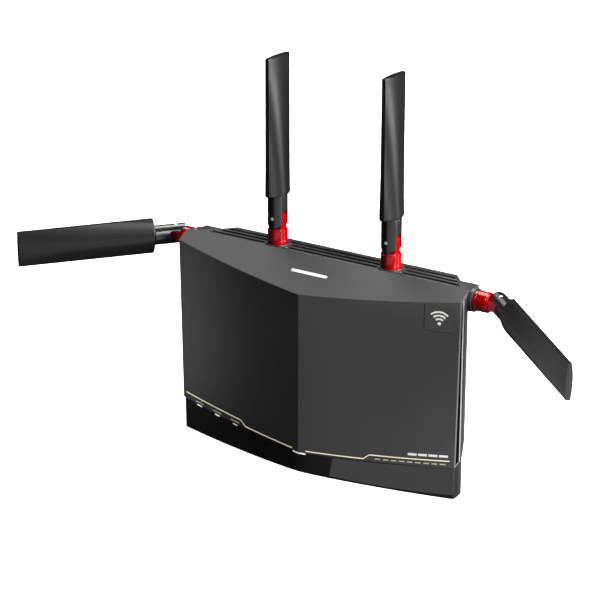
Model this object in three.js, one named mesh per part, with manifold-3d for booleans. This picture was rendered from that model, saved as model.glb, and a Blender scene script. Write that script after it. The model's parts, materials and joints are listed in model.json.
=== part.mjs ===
// A desktop wireless router with four jointed paddle antennas.
// Millimetres, +Z up, the front faces -Y. The origin is on the resting plane, under the middle
// of the body's footprint.
import * as THREE from 'three';
import { mergeVertices } from 'three/addons/utils/BufferGeometryUtils.js';
import Module from 'manifold-3d';

const wasm = await Module();
wasm.setup();

// ---- driving dimensions ----
const GAP = 0.3;                 // clearance between neighbouring pieces
const WALL = 2.5;                // moulded wall

// body
const HALF_WIDTH = 150;          // at the top of the side walls
const RIDGE_Y = -37.5;           // sharp vertical ridge down the middle of the front
const CORNER_Y = -11.4;          // front corners
const PANEL_BOW = 2;             // outward bow of each half of the front panel
const REAR_Y = 37.5;             // back of the rear bulge
const SPLIT_Y = -2.3;            // front rim of the rear cover
const REAR_HALF_WIDTH = 149.2;    // at the front rim of the rear cover
const REAR_FOOT_HALF_WIDTH = 146.6;  // the same below the slanting edge
const REAR_TOP = 191.5;          // grooved top of the rear cover
const DRAFT = 1.07e-4;           // narrowing of the side walls per mm of height
const DRAFT_TOP = 187;           // height at which the body has its full width

// sloping roof of the front cover, and the slanting lower edge of the front panel
const ROOF_BACK_Y = 2.3;
const ROOF_BACK_Z = 195;
const ROOF_SLOPE = 0.59;
const ROOF_THICK = 3;
const CUT_CORNER_Z = 31;
const CUT_SLOPE = 0.448;
const SIDE_EDGE_Y = -8.8;        // rear edge of the front cover's side returns
const BEZEL_HALF_WIDTH = 149.6;
const BEZEL_CORNER_Y = -9.8;
const BEZEL_RIDGE_Y = -37.2;
const BEZEL_BOW = 3;

// chassis between the covers
const CHASSIS_FRONT = -6.4;
const CHASSIS_BACK = -2.6;
const CHASSIS_HALF_WIDTH = 148.4;
const CHASSIS_EDGE = 2.2;        // thickness of its edge, seen between the covers
const CHASSIS_REBATE = 3;        // how far in from the edge it is that thin
const STRIP_X = 139.5;           // the chassis strips that back the gap behind the front cover
const PLATE_THICK = 2.5;         // bottom plate

// top grooves
const GROOVE_COUNT = 4;
const GROOVE_PITCH = 7;
const GROOVE_WIDTH = 3.8;
const GROOVE_DEPTH = 3;
const GROOVE_FIRST_Y = 8.6;
const GROOVE_MARGIN = 3;         // between the ends of the grooves and the slanting sides
const TOP_THICK = 6;

// antennas: local +Z leaves the socket, the hinge pin lies along local Y
const TOP_SOCKET_X = 60.5;
const TOP_SOCKET_Y = 19.3;
const SIDE_SOCKET_X = 148;
const SIDE_SOCKET_Y = 16.3;
const SIDE_SOCKET_Z = 181;
const SHOULDER_END = 146.2;      // end face of the boss under each side socket
const SHOULDER_R = 11;
const BARREL_R = 9.25;
const STUB_R = 6;
const BARREL_TOP = 14.5;
const STEP_R = 8.3;              // low step on top of the barrel
const STEP_TOP = 16;
const PIN_HEIGHT = 26;
const PIN_R = 1.9;
const TONGUE_R = 6.5;
const TONGUE_THICK = 9.4;
const SLOT_THICK = 10;
const SLOT_END = 7.2;            // end of the fork's slot, above the pin
const FORK_END = PIN_HEIGHT + 21.5;
const SPIGOT_END = FORK_END + 8.5;
const PADDLE_WIDTH = 33.2;
const PADDLE_ROOT = { middle: 9.6, rim: 2.2 };   // half thickness at the root
const PADDLE_END = { middle: 3.3, rim: 1.85 };   // half thickness at the tip
const PADDLE_TIP = PIN_HEIGHT + 150.5;

// rear port bay and what sits in it
const BAY_HALF = 112;
const BAY_FLOOR_Y = 25.5;
const BAY_LOW = 22;
const BAY_HIGH = 62;
const PORT_Z = 40;
const BOARD_BACK = 3.6;
const BOARD_FRONT = 2;
const RJ45_WIDTH = 15.5;
const RJ45_HEIGHT = 14;
const LAN_COUNT = 4;
const WAN_X = -30;
const LAN_X = 14;
const USB_X = -55;
const DC_X = -98;
const POWER_X = -78;
const MODE_X = [60, 78];
const MODE_TRAVEL = 2;           // each way
const MODE_KNOB = 2;             // half width
const RESET_X = 93;
const SETUP_X = 104;

// fastening
const SCREW_PLACES = [[-105, 172], [105, 172], [-105, 12], [105, 12]];
const KEYHOLES_X = [-75, 75];
const KEYHOLE_Z = 108;
const FOOT_PLACES = [[-115, -4], [115, -4], [-100, 24], [100, 24]];
const FOOT_R = 6;

// ---- shape tools ----
function solid(geometry) {
  geometry.deleteAttribute('normal');
  geometry.deleteAttribute('uv');
  const merged = mergeVertices(geometry, 1e-4);
  const vertProperties = new Float32Array(merged.attributes.position.array);
  const triVerts = new Uint32Array(merged.index.array);
  return new wasm.Manifold(new wasm.Mesh({ numProp: 3, vertProperties, triVerts }));
}

function union(...solids) {
  return solids.reduce((whole, next) => whole.add(next));
}

function cut(body, ...tools) {
  return tools.reduce((rest, tool) => rest.subtract(tool), body);
}

function outline(points) {
  return new THREE.Shape(points.map(([u, v]) => new THREE.Vector2(u, v)));
}

// A plan outline raised from low to high; the side walls lean in towards the bottom.
function prism(points, low, high, leaning = true) {
  const geometry = new THREE.ExtrudeGeometry(outline(points), { depth: high - low, bevelEnabled: false });
  geometry.translate(0, 0, low);
  if (leaning) {
    const place = geometry.attributes.position;
    for (let i = 0; i < place.count; i += 1) {
      place.setX(i, place.getX(i) * (1 - DRAFT * (DRAFT_TOP - place.getZ(i))));
    }
  }
  return solid(geometry);
}

// A side view, points (y, z), drawn out along X.
function side(points, left = -200, right = 200) {
  const geometry = new THREE.ExtrudeGeometry(outline(points), { depth: right - left, bevelEnabled: false });
  geometry.rotateX(Math.PI / 2);
  geometry.rotateZ(Math.PI / 2);
  geometry.translate(left, 0, 0);
  return solid(geometry);
}

function box(x0, x1, y0, y1, z0, z1) {
  const geometry = new THREE.BoxGeometry(x1 - x0, y1 - y0, z1 - z0);
  geometry.translate((x0 + x1) / 2, (y0 + y1) / 2, (z0 + z1) / 2);
  return solid(geometry);
}

// A closed profile, points (radius, height), turned about the Z axis.
function turned(profile, steps = 20) {
  const points = [...profile, profile[0]].map(([r, z]) => new THREE.Vector2(r, z));
  const geometry = new THREE.LatheGeometry(points, steps);
  geometry.rotateX(Math.PI / 2);
  return solid(geometry);
}

// A round bar from low to high along 'x', 'y' or 'z', through the point (a, b) of the other two.
function bar(axis, radius, low, high, a, b, steps = 20) {
  const geometry = new THREE.CylinderGeometry(radius, radius, high - low, steps);
  const middle = (low + high) / 2;
  if (axis === 'x') {
    geometry.rotateZ(Math.PI / 2);
    geometry.translate(middle, a, b);
  } else if (axis === 'y') {
    geometry.translate(a, middle, b);
  } else {
    geometry.rotateX(Math.PI / 2);
    geometry.translate(a, b, middle);
  }
  return solid(geometry);
}

// Points from one corner to another along a shallow parabola that bows to the right of its run.
function bowed(from, to, bow, steps) {
  const [dx, dy] = [to[0] - from[0], to[1] - from[1]];
  const length = Math.hypot(dx, dy);
  return Array.from({ length: steps }, (_, i) => {
    const t = i / steps;
    const out = 4 * bow * t * (1 - t);
    return [from[0] + dx * t + (out * dy) / length, from[1] + dy * t - (out * dx) / length];
  });
}

// A convex outline, drawn anticlockwise, moved inwards by a distance.
function inset(points, distance) {
  const count = points.length;
  const edges = points.map((start, i) => {
    const end = points[(i + 1) % count];
    const [dx, dy] = [end[0] - start[0], end[1] - start[1]];
    const length = Math.hypot(dx, dy);
    const [nx, ny] = [-dy / length, dx / length];
    return { nx, ny, c: nx * start[0] + ny * start[1] + distance };
  });
  return edges.map((edge, i) => {
    const before = edges[(i + count - 1) % count];
    const scale = before.nx * edge.ny - before.ny * edge.nx;
    return [
      (before.c * edge.ny - before.ny * edge.c) / scale,
      (before.nx * edge.c - before.c * edge.nx) / scale,
    ];
  });
}

function rectangle(x0, x1, y0, y1) {
  return [[x0, y0], [x1, y0], [x1, y1], [x0, y1]];
}

function mirrored(points) {
  return [...points, ...points.map(([x, y]) => [-x, y]).reverse()];
}

const roof = (y) => ROOF_BACK_Z - ROOF_SLOPE * (ROOF_BACK_Y - y);
const edge = (y) => CUT_CORNER_Z + CUT_SLOPE * (y - CORNER_Y);

// Plan of the front: two bowed halves that meet in the ridge, then straight back to y = back.
function frontPlan(back, halfWidth = HALF_WIDTH, cornerY = CORNER_Y, ridgeY = RIDGE_Y, bow = PANEL_BOW) {
  const steps = 8;
  return [
    ...bowed([-halfWidth, cornerY], [0, ridgeY], bow, steps),
    ...bowed([0, ridgeY], [halfWidth, cornerY], bow, steps),
    [halfWidth, cornerY],
    [halfWidth, back],
    [-halfWidth, back],
  ];
}

// The same plan moved inwards, with its back edge kept at y = back.
function frontPlanInset(distance, back) {
  return inset(frontPlan(back + distance), distance);
}

const rearPlan = mirrored([
  [REAR_HALF_WIDTH, SPLIT_Y],
  [147.3, 2.8],
  [139, 20.8],
  [131, 22.3],
  [118, REAR_Y],
]);

// The rear cover steps in to this plan below the plane of the slanting edge.
const rearFootPlan = mirrored([
  [REAR_FOOT_HALF_WIDTH, SPLIT_Y],
  [145.2, 6],
  [135.5, 20.8],
  [127.5, 22.3],
  [118, REAR_Y],
]);

// A slab that follows the panel's lower edge, from a to b above it.
function edgeSlab(a, b, left = -200, right = 200) {
  const [front, back] = [-45, 10];
  return side([
    [front, edge(front) + a],
    [back, edge(back) + a],
    [back, edge(back) + b],
    [front, edge(front) + b],
  ], left, right);
}

// Everything above the plane of the slanting edge, from the front of the body to its back.
function aboveEdge(clear) {
  const [front, back, top] = [-60, 60, 300];
  return side([[front, edge(front) + clear], [back, edge(back) + clear], [back, top], [front, top]]);
}

// ---- materials ----
function finish(colour, roughness, metalness = 0) {
  return new THREE.MeshStandardMaterial({ color: colour, roughness, metalness });
}

const GREY_SATIN = finish(0x35363a, 0.45);
const BLACK_GLOSS = finish(0x0b0b0c, 0.12);
const BLACK_SATIN = finish(0x131314, 0.4);
const GUNMETAL = finish(0x4a4b50, 0.4);
const RED_GLOSS = finish(0xd00008, 0.15);
const STEEL = finish(0xc8c8cc, 0.25, 1);
const RUBBER = finish(0x202020, 0.9);
const BOARD_GREEN = finish(0x1d5a34, 0.5);
const ALUMINIUM = finish(0xb0b2b5, 0.35, 1);
const LENS_WHITE = finish(0xe8eef2, 0.2);
const LABEL_SILVER = finish(0xa9abae, 0.5);
const JACK_BLACK = finish(0x1a1a1c, 0.5);
const JACK_BLUE = finish(0x1f56b0, 0.5);
const CABLE_GREY = finish(0x55575a, 0.6);

const router = new THREE.Group();

function piece(name, body, material, parent = router) {
  const result = body.getMesh();
  const geometry = new THREE.BufferGeometry();
  geometry.setAttribute('position', new THREE.BufferAttribute(new Float32Array(result.vertProperties), 3));
  geometry.setIndex(new THREE.BufferAttribute(new Uint32Array(result.triVerts), 1));
  geometry.computeVertexNormals();
  const mesh = new THREE.Mesh(geometry, material);
  mesh.name = name;
  parent.add(mesh);
  return mesh;
}

// ---- covers ----
// One moulding: the ridged front panel, short side returns and the sloping roof.
function frontCover() {
  const under = (y) => roof(y) - ROOF_THICK;
  const skin = prism(frontPlan(ROOF_BACK_Y), 5, 205).intersect(side([
    [-45, edge(-45)],
    [SIDE_EDGE_Y, edge(SIDE_EDGE_Y)],
    [SIDE_EDGE_Y, under(SIDE_EDGE_Y)],
    [ROOF_BACK_Y, under(ROOF_BACK_Y)],
    [ROOF_BACK_Y, roof(ROOF_BACK_Y)],
    [-45, roof(-45)],
  ]));
  const hollow = prism(frontPlanInset(WALL, 8), 0, 205).intersect(side([
    [-45, 0],
    [10, 0],
    [10, under(10)],
    [-45, under(-45)],
  ]));
  return skin.subtract(hollow);
}

// Glossy lower band; a tongue on its upper edge stands inside the front cover.
const BEZEL_INNER = 5.5;         // inset of its inner face
const TONGUE_INSET = 3.1;
const LIGHT_SLAB = [-1.75, -0.75];
const LIGHT_HALF = 7;
const STATUS_X = [-126, -102, -78.5];
const STATUS_HALF = 3;

function lowerBezel() {
  const plan = frontPlan(SPLIT_Y - GAP, BEZEL_HALF_WIDTH, BEZEL_CORNER_Y, BEZEL_RIDGE_Y, BEZEL_BOW);
  const band = prism(plan, 0, 60).intersect(edgeSlab(-60, -GAP));
  const tongue = prism(frontPlanInset(TONGUE_INSET, CHASSIS_FRONT - GAP), 0, 70).intersect(edgeSlab(-6, 9));
  const inside = prism(frontPlanInset(BEZEL_INNER, 10), -5, 80);
  const notches = [0, ...STATUS_X].map((x) => {
    const half = (x === 0 ? LIGHT_HALF : STATUS_HALF) + GAP;
    return edgeSlab(LIGHT_SLAB[0] - GAP, LIGHT_SLAB[1] + GAP, x - half, x + half);
  });
  return cut(union(band, tongue), inside, ...notches);
}

// Part of a light guide: the stretch of the front between two insets, from left to right.
function guide(outer, inner, left, right, low, high) {
  const stretch = prism(frontPlanInset(outer, 12), 0, 60).subtract(prism(frontPlanInset(inner, 20), -5, 70));
  const front = box(left, right, -45, CHASSIS_FRONT - GAP, -10, 80);
  return stretch.intersect(edgeSlab(low, high)).intersect(front);
}

function statusLightGuide() {
  const rail = guide(5.8, 7, STATUS_X[0] - STATUS_HALF, STATUS_X[2] + STATUS_HALF, -4, 2);
  const fingers = STATUS_X.map((x) => guide(0.6, 6.4, x - STATUS_HALF, x + STATUS_HALF, ...LIGHT_SLAB));
  return union(rail, ...fingers);
}

// Chassis plate between the covers, with board posts and screw bosses on its back.
const BOARD_POSTS = [[-110, 28], [110, 28], [-110, 155], [110, 155]];

function midFrame() {
  const top = (y) => roof(y) - ROOF_THICK - GAP;
  const plate = (halfWidth, leaning) => prism(
    rectangle(-halfWidth, halfWidth, CHASSIS_FRONT, CHASSIS_BACK), PLATE_THICK + 0.5, 200, leaning,
  );
  const outline = side([
    [CHASSIS_FRONT, 0],
    [CHASSIS_BACK, 0],
    [CHASSIS_BACK, top(CHASSIS_BACK)],
    [CHASSIS_FRONT, top(CHASSIS_FRONT)],
  ]);
  const above = plate(CHASSIS_HALF_WIDTH, false).intersect(aboveEdge(GAP));
  const between = plate(HALF_WIDTH - BEZEL_INNER - GAP, true);
  const pocket = box(-137, 137, CHASSIS_FRONT - 1, CHASSIS_BACK - 2, 10, 178);
  const strips = [-1, 1].map((s) => {
    const [middle, half] = [s * STRIP_X, 1.6];
    return prism(rectangle(middle - half, middle + half, SIDE_EDGE_Y + GAP, CHASSIS_FRONT + 0.1), 45, 181);
  });
  const rebates = [-1, 1].map((s) => {
    const edge = s * CHASSIS_HALF_WIDTH;
    return prism(rectangle(
      edge - CHASSIS_REBATE, edge + CHASSIS_REBATE, CHASSIS_FRONT - 1, CHASSIS_BACK - CHASSIS_EDGE,
    ), -10, 200);
  });
  const bosses = SCREW_PLACES.map(([x, z]) => bar('y', 4, CHASSIS_BACK - 0.1, 2.6, x, z, 12));
  const pilots = SCREW_PLACES.map(([x, z]) => bar('y', 1.8, -10, 5, x, z, 12));
  const posts = BOARD_POSTS.map(([x, z]) => bar('y', 3, CHASSIS_BACK - 0.1, BOARD_FRONT - GAP, x, z, 10));
  const pegs = BOARD_POSTS.map(([x, z]) => bar('y', 1.3, CHASSIS_BACK, BOARD_BACK, x, z, 10));
  const rim = union(above, between).intersect(outline).subtract(union(pocket, ...rebates));
  return cut(union(rim, ...strips, ...bosses, ...posts, ...pegs), ...pilots);
}

function topGrooves() {
  const slanted = mirrored([[160, -11.6], [118, REAR_Y]]);
  const field = prism(inset(slanted, GROOVE_MARGIN), REAR_TOP - GROOVE_DEPTH, REAR_TOP + 5);
  const bars = Array.from({ length: GROOVE_COUNT }, (_, i) => {
    const y = GROOVE_FIRST_Y + i * GROOVE_PITCH;
    return box(-150, 150, y - GROOVE_WIDTH / 2, y + GROOVE_WIDTH / 2, REAR_TOP - 10, REAR_TOP + 10);
  });
  const landings = [-1, 1].map((s) => bar('z', 13, 150, 210, s * TOP_SOCKET_X, TOP_SOCKET_Y));
  return cut(field.intersect(union(...bars)), ...landings);
}

// Hole for a socket bush and the seat of its flange, cut from inside out along local Z.
function socketHole() {
  return union(bar('z', 7.5, -20, 5, 0, 0), bar('z', 11.1, -1.8, 5, 0, 0));
}

// Where each antenna stands: local Z leaves the body, local Y is the hinge pin.
function sitePlace(site) {
  const [px, py, pz] = site.pin;
  const [zx, zy, zz] = site.out;
  const out = new THREE.Vector3(zx, zy, zz);
  const pin = new THREE.Vector3(px, py, pz);
  const across = new THREE.Vector3().crossVectors(pin, out);
  return new THREE.Matrix4().makeBasis(across, pin, out).setPosition(...site.at);
}

// fold: lean about the pin, turn: swivel about the socket's axis, twist: of the blade on its arm, in degrees
const TOP_AXES = { out: [0, 0, 1], pin: [0, 1, 0], fold: 0, turn: 0, twist: 0 };
const SITES = [
  { name: 'top_left', at: [-TOP_SOCKET_X, TOP_SOCKET_Y, REAR_TOP], ...TOP_AXES },
  { name: 'top_right', at: [TOP_SOCKET_X, TOP_SOCKET_Y, REAR_TOP], ...TOP_AXES },
  {
    name: 'side_left', at: [-SIDE_SOCKET_X, SIDE_SOCKET_Y, SIDE_SOCKET_Z],
    out: [-1, 0, 0], pin: [0, 0, 1], fold: 52, turn: 0, twist: 0,
  },
  {
    name: 'side_right', at: [SIDE_SOCKET_X, SIDE_SOCKET_Y, SIDE_SOCKET_Z],
    out: [1, 0, 0], pin: [0, 0, 1], fold: -39.6, turn: 7.6, twist: -4.6,
  },
];

function placed(body, matrix) {
  return body.transform(matrix.elements);
}

const JACK_FACE = BAY_FLOOR_Y + 0.5;
const jackX = Array.from({ length: LAN_COUNT }, (_, i) => LAN_X + (i - (LAN_COUNT - 1) / 2) * RJ45_WIDTH);

// Through cuts in the floor of the port bay, one for each jack, button and switch.
function bayCuts() {
  const [low, high] = [18, 30];
  const window = (x, halfX, halfZ) => box(x - halfX, x + halfX, low, high, PORT_Z - halfZ, PORT_Z + halfZ);
  return [
    window(WAN_X, RJ45_WIDTH / 2 + GAP, RJ45_HEIGHT / 2 + GAP),
    window(LAN_X, (RJ45_WIDTH * LAN_COUNT) / 2 + GAP, RJ45_HEIGHT / 2 + GAP),
    window(USB_X, 7.3 + GAP, 3.6 + GAP),
    window(DC_X, 5 + GAP, 5.5 + GAP),
    window(POWER_X, 4.5 + GAP, 4.5 + GAP),
    ...MODE_X.map((x) => window(x, MODE_KNOB + MODE_TRAVEL + GAP, 2.4)),
    bar('y', 1.3 + GAP, low, high, RESET_X, PORT_Z, 12),
    bar('y', 4 + GAP, low, high, SETUP_X, PORT_Z, 16),
  ];
}

// Vertical slots in the back wall, too narrow for a finger.
function backVents() {
  const banks = [[-52, 52, 132, 158], [-52, 52, 90, 124]];
  const pitch = 9;
  return banks.flatMap(([left, right, low, high]) => {
    const count = Math.floor((right - left) / pitch) + 1;
    return Array.from({ length: count }, (_, i) => {
      const x = left + i * pitch;
      return box(x - 1.3, x + 1.3, REAR_Y - 5, REAR_Y + 5, low, high);
    });
  });
}

function keyhole(x) {
  const [low, high] = [REAR_Y - 5, REAR_Y + 5];
  const [headR, neckR, rise] = [4.4, 2.4, 9];
  return union(
    bar('y', headR, low, high, x, KEYHOLE_Z, 16),
    bar('y', neckR, low, high, x, KEYHOLE_Z + rise, 12),
    box(x - neckR, x + neckR, low, high, KEYHOLE_Z, KEYHOLE_Z + rise),
  );
}

const LABEL = { x: 0, z: 76, width: 46, height: 18, deep: 0.6 };

function rearCover() {
  const slope = (y) => roof(y) - ROOF_THICK - GAP;
  const upright = (plan, low, high) => prism(plan, low, high, false);
  const frontGap = (halfWidth) => rectangle(-halfWidth, halfWidth, SPLIT_Y - 3, SPLIT_Y + WALL);
  const ceiling = REAR_TOP - TOP_THICK;
  const outside = union(upright(rearPlan, 0, 200).intersect(aboveEdge(0)), upright(rearFootPlan, 0, 60));
  const skin = outside.intersect(side([
    [SPLIT_Y, 0],
    [REAR_Y + 1, 0],
    [REAR_Y + 1, REAR_TOP],
    [2, REAR_TOP],
    [SPLIT_Y, slope(SPLIT_Y)],
  ]));
  const shoulderY = [2, SIDE_SOCKET_Y + 10];
  const shoulders = [-1, 1].flatMap((s) => {
    const [left, right] = [Math.min(s * 120, s * SHOULDER_END), Math.max(s * 120, s * SHOULDER_END)];
    return [
      bar('x', SHOULDER_R, left, right, SIDE_SOCKET_Y, SIDE_SOCKET_Z, 32).intersect(box(-200, 200, -50, 50, 0, REAR_TOP)),
      box(left, right, ...shoulderY, SIDE_SOCKET_Z, REAR_TOP),
    ];
  });
  const inEnd = SHOULDER_END - WALL;
  const hollow = union(
    upright(inset(rearPlan, WALL), 0, ceiling).intersect(aboveEdge(WALL)),
    upright(inset(rearFootPlan, WALL), -5, ceiling),
    upright(frontGap(REAR_HALF_WIDTH - WALL), 0, ceiling).intersect(aboveEdge(WALL)),
    upright(frontGap(REAR_FOOT_HALF_WIDTH - WALL), -5, ceiling),
    bar('x', SHOULDER_R - WALL, -inEnd, inEnd, SIDE_SOCKET_Y, SIDE_SOCKET_Z, 32)
      .intersect(box(-200, 200, -50, 50, 0, ceiling)),
    box(-inEnd, inEnd, shoulderY[0] + WALL, shoulderY[1] - WALL, SIDE_SOCKET_Z, ceiling),
  );
  const bay = box(-BAY_HALF - WALL, BAY_HALF + WALL, BAY_FLOOR_Y - WALL, REAR_Y, BAY_LOW - WALL, BAY_HIGH + WALL);
  const bayHollow = box(-BAY_HALF, BAY_HALF, BAY_FLOOR_Y, REAR_Y + 5, BAY_LOW, BAY_HIGH);
  const tubes = SCREW_PLACES.map(([x, z]) => bar('y', 5.2, 3, REAR_Y - 0.5, x, z, 16));
  const wells = SCREW_PLACES.map(([x, z]) => bar('y', 3.6, 8, REAR_Y + 5, x, z, 16));
  const holes = SCREW_PLACES.map(([x, z]) => bar('y', 1.9, 0, 12, x, z, 12));
  const sockets = SITES.map((site) => placed(socketHole(), sitePlace(site)));
  const label = box(
    LABEL.x - LABEL.width / 2 - GAP, LABEL.x + LABEL.width / 2 + GAP,
    REAR_Y - LABEL.deep, REAR_Y + 5,
    LABEL.z - LABEL.height / 2 - GAP, LABEL.z + LABEL.height / 2 + GAP,
  );
  const shell = union(union(skin, ...shoulders).subtract(hollow), bay, ...tubes);
  return cut(
    shell, bayHollow, ...wells, ...holes, ...bayCuts(), ...backVents(),
    ...KEYHOLES_X.map(keyhole), topGrooves(), ...sockets, label,
  );
}

function basePlate() {
  const front = prism(frontPlanInset(BEZEL_INNER + GAP, 2), 0, PLATE_THICK);
  const rear = prism(inset(rearFootPlan, WALL + GAP), 0, PLATE_THICK, false);
  const seats = FOOT_PLACES.map(([x, y]) => bar('z', FOOT_R + GAP, -1, 1.5, x, y, 16));
  return cut(union(front, rear), ...seats);
}

// ---- electronics ----
function mainBoard() {
  const plate = box(-125, 125, BOARD_FRONT, BOARD_BACK, 20, 163);
  return cut(plate, ...BOARD_POSTS.map(([x, z]) => bar('y', 1.6, 0, 6, x, z, 10)));
}

// Finned block on the board, fins upright.
function heatSink() {
  const [left, right, base, tip] = [-60, 60, 7, 20];
  const [fins, finWidth] = [13, 2.2];
  const pitch = (right - left - finWidth) / (fins - 1);
  const points = [[left, BOARD_BACK + GAP], [right, BOARD_BACK + GAP]];
  for (let i = fins - 1; i >= 0; i -= 1) {
    const x = left + i * pitch;
    points.push([x + finWidth, tip], [x, tip]);
    if (i > 0) {
      points.push([x, base], [x - pitch + finWidth, base]);
    }
  }
  return prism(points, 78, 158, false);
}

function shieldCan() {
  const can = box(72, 108, BOARD_BACK + GAP, 8.5, 84, 136);
  return can.subtract(box(73, 107, BOARD_BACK, 7.7, 85, 135));
}

// A block of RJ45 sockets that reaches from the board to the floor of the port bay.
function rj45Block(centre, places) {
  const half = (RJ45_WIDTH * places.length) / 2;
  const body = box(centre - half, centre + half, BOARD_BACK + GAP, JACK_FACE, PORT_Z - 7, PORT_Z + 7);
  const mouths = places.flatMap((x) => [
    box(x - 6, x + 6, JACK_FACE - 13, JACK_FACE + 1, PORT_Z - 3.2, PORT_Z + 5),
    box(x - 3, x + 3, JACK_FACE - 13, JACK_FACE + 1, PORT_Z - 5.6, PORT_Z - 3),
  ]);
  return cut(body, ...mouths);
}

function usbPort() {
  const body = box(USB_X - 7.3, USB_X + 7.3, BOARD_BACK + GAP, JACK_FACE, PORT_Z - 3.6, PORT_Z + 3.6);
  const mouth = box(USB_X - 6.5, USB_X + 6.5, JACK_FACE - 12, JACK_FACE + 1, PORT_Z - 2.9, PORT_Z + 2.9);
  const tongue = box(USB_X - 5.6, USB_X + 5.6, JACK_FACE - 12.1, JACK_FACE - 6.5, PORT_Z + 1.5, PORT_Z + 3);
  return union(body.subtract(mouth), tongue);
}

function dcJack() {
  const body = box(DC_X - 5, DC_X + 5, BOARD_BACK + GAP, JACK_FACE, PORT_Z - 5.5, PORT_Z + 5.5);
  const bore = bar('y', 3.1, JACK_FACE - 9, JACK_FACE + 1, DC_X, PORT_Z, 16);
  const pin = bar('y', 1, JACK_FACE - 9.1, JACK_FACE - 1, DC_X, PORT_Z, 10);
  return union(body.subtract(bore), pin);
}

// ---- controls, all facing the back ----
function roundButton(x, radius, face) {
  return union(
    bar('y', radius, 20, face, x, PORT_Z, 16),
    bar('y', radius + 1.6, 19, BAY_FLOOR_Y - WALL - GAP, x, PORT_Z, 16),
  );
}

function powerButton() {
  const cap = box(POWER_X - 4.5, POWER_X + 4.5, 20, BAY_FLOOR_Y + 2.5, PORT_Z - 4.5, PORT_Z + 4.5);
  const flange = box(POWER_X - 6, POWER_X + 6, 19, BAY_FLOOR_Y - WALL - GAP, PORT_Z - 6, PORT_Z + 6);
  return union(cap, flange);
}

function slideSwitch(x) {
  const knob = box(x - MODE_KNOB, x + MODE_KNOB, 21, BAY_FLOOR_Y + 1.8, PORT_Z - 2.1, PORT_Z + 2.1);
  const ribs = box(x - 0.5, x + 0.5, BAY_FLOOR_Y + 1.7, BAY_FLOOR_Y + 2.4, PORT_Z - 2.1, PORT_Z + 2.1);
  const half = MODE_KNOB + 2 * (MODE_TRAVEL + GAP);
  const carriage = box(x - half, x + half, 20.5, BAY_FLOOR_Y - WALL - GAP, PORT_Z - 3.4, PORT_Z + 3.4);
  return union(knob, ribs, carriage);
}

// ---- fasteners and feet ----
function coverScrew(x, z) {
  const head = bar('y', 3.2, 8.3, 10.6, x, z, 12);
  const shank = bar('y', 1.5, -1.2, 8.4, x, z, 12);
  const drive = union(box(x - 2, x + 2, 9.6, 12, z - 0.4, z + 0.4), box(x - 0.4, x + 0.4, 9.6, 12, z - 2, z + 2));
  return union(head, shank).subtract(drive);
}

// ---- antennas ----
// Plastic bush in the rear cover: a flange with a raised ring round the barrel, and a sleeve.
function antennaSocket() {
  return turned([
    [STUB_R + GAP, -TOP_THICK - 0.5],
    [7.2, -TOP_THICK - 0.5],
    [7.2, -1.5],
    [10.8, -1.5],
    [10.8, 1.6],
    [BARREL_R + 0.35, 1.6],
    [BARREL_R + 0.35, 0.5],
    [STUB_R + GAP, 0.5],
  ]);
}

function knuckle() {
  const barrel = turned([
    [0, -10],
    [STUB_R, -10],
    [STUB_R, 0.8],
    [BARREL_R, 0.8],
    [BARREL_R, BARREL_TOP - 0.5],
    [BARREL_R - 0.5, BARREL_TOP],
    [STEP_R, BARREL_TOP],
    [STEP_R, STEP_TOP],
    [0, STEP_TOP],
  ]);
  const half = TONGUE_THICK / 2;
  const tongue = union(
    box(-TONGUE_R, TONGUE_R, -half, half, STEP_TOP - 0.5, PIN_HEIGHT),
    bar('y', TONGUE_R, -half, half, 0, PIN_HEIGHT, 24),
  );
  return union(barrel, tongue).subtract(bar('y', PIN_R + GAP, -20, 20, 0, PIN_HEIGHT, 16));
}

function fork() {
  const column = bar('z', BARREL_R, PIN_HEIGHT - BARREL_R, FORK_END, 0, 0, 24);
  const ears = union(
    bar('y', BARREL_R, -20, 20, 0, PIN_HEIGHT, 24),
    box(-20, 20, -20, 20, PIN_HEIGHT, FORK_END + 5),
  );
  const spigot = bar('z', STUB_R, FORK_END - 1, SPIGOT_END, 0, 0);
  const slot = box(-20, 20, -SLOT_THICK / 2, SLOT_THICK / 2, 0, PIN_HEIGHT + SLOT_END);
  const hole = bar('y', PIN_R + GAP, -20, 20, 0, PIN_HEIGHT, 16);
  return cut(union(column.intersect(ears), spigot), slot, hole);
}

// Flat paddle with a lens section, full in the middle and thin at both rims, that shrinks to the tip.
function paddle() {
  const steps = 12;
  const bulge = (across) => 1 - across * across;
  const fractions = Array.from({ length: steps + 1 }, (_, i) => (2 * i) / steps - 1);
  const section = [...fractions.map((f) => [1, f]), ...fractions.map((f) => [-1, -f])];
  const root = FORK_END + GAP;
  const length = PADDLE_TIP - root;
  const geometry = new THREE.ExtrudeGeometry(outline(section), { depth: length, steps: 5, bevelEnabled: false });
  const place = geometry.attributes.position;
  for (let i = 0; i < place.count; i += 1) {
    const t = place.getZ(i) / length;
    const across = place.getY(i);
    const middle = PADDLE_ROOT.middle + (PADDLE_END.middle - PADDLE_ROOT.middle) * t;
    const rim = PADDLE_ROOT.rim + (PADDLE_END.rim - PADDLE_ROOT.rim) * t;
    place.setX(i, place.getX(i) * (rim + (middle - rim) * bulge(across)));
    place.setY(i, (across * PADDLE_WIDTH) / 2);
    place.setZ(i, root + t * length);
  }
  const bore = bar('z', STUB_R + GAP, root - 5, SPIGOT_END + 1, 0, 0);
  const slit = box(-0.9, 0.9, -11, 11, root + 3, PADDLE_TIP - 12);
  return cut(solid(geometry), bore, slit);
}

function antennaBoard() {
  return box(-0.5, 0.5, -10.5, 10.5, SPIGOT_END + 1.5, PADDLE_TIP - 13);
}

function hingePin() {
  return bar('y', PIN_R, -BARREL_R + 0.35, BARREL_R - 0.35, 0, 0, 14);
}

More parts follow.
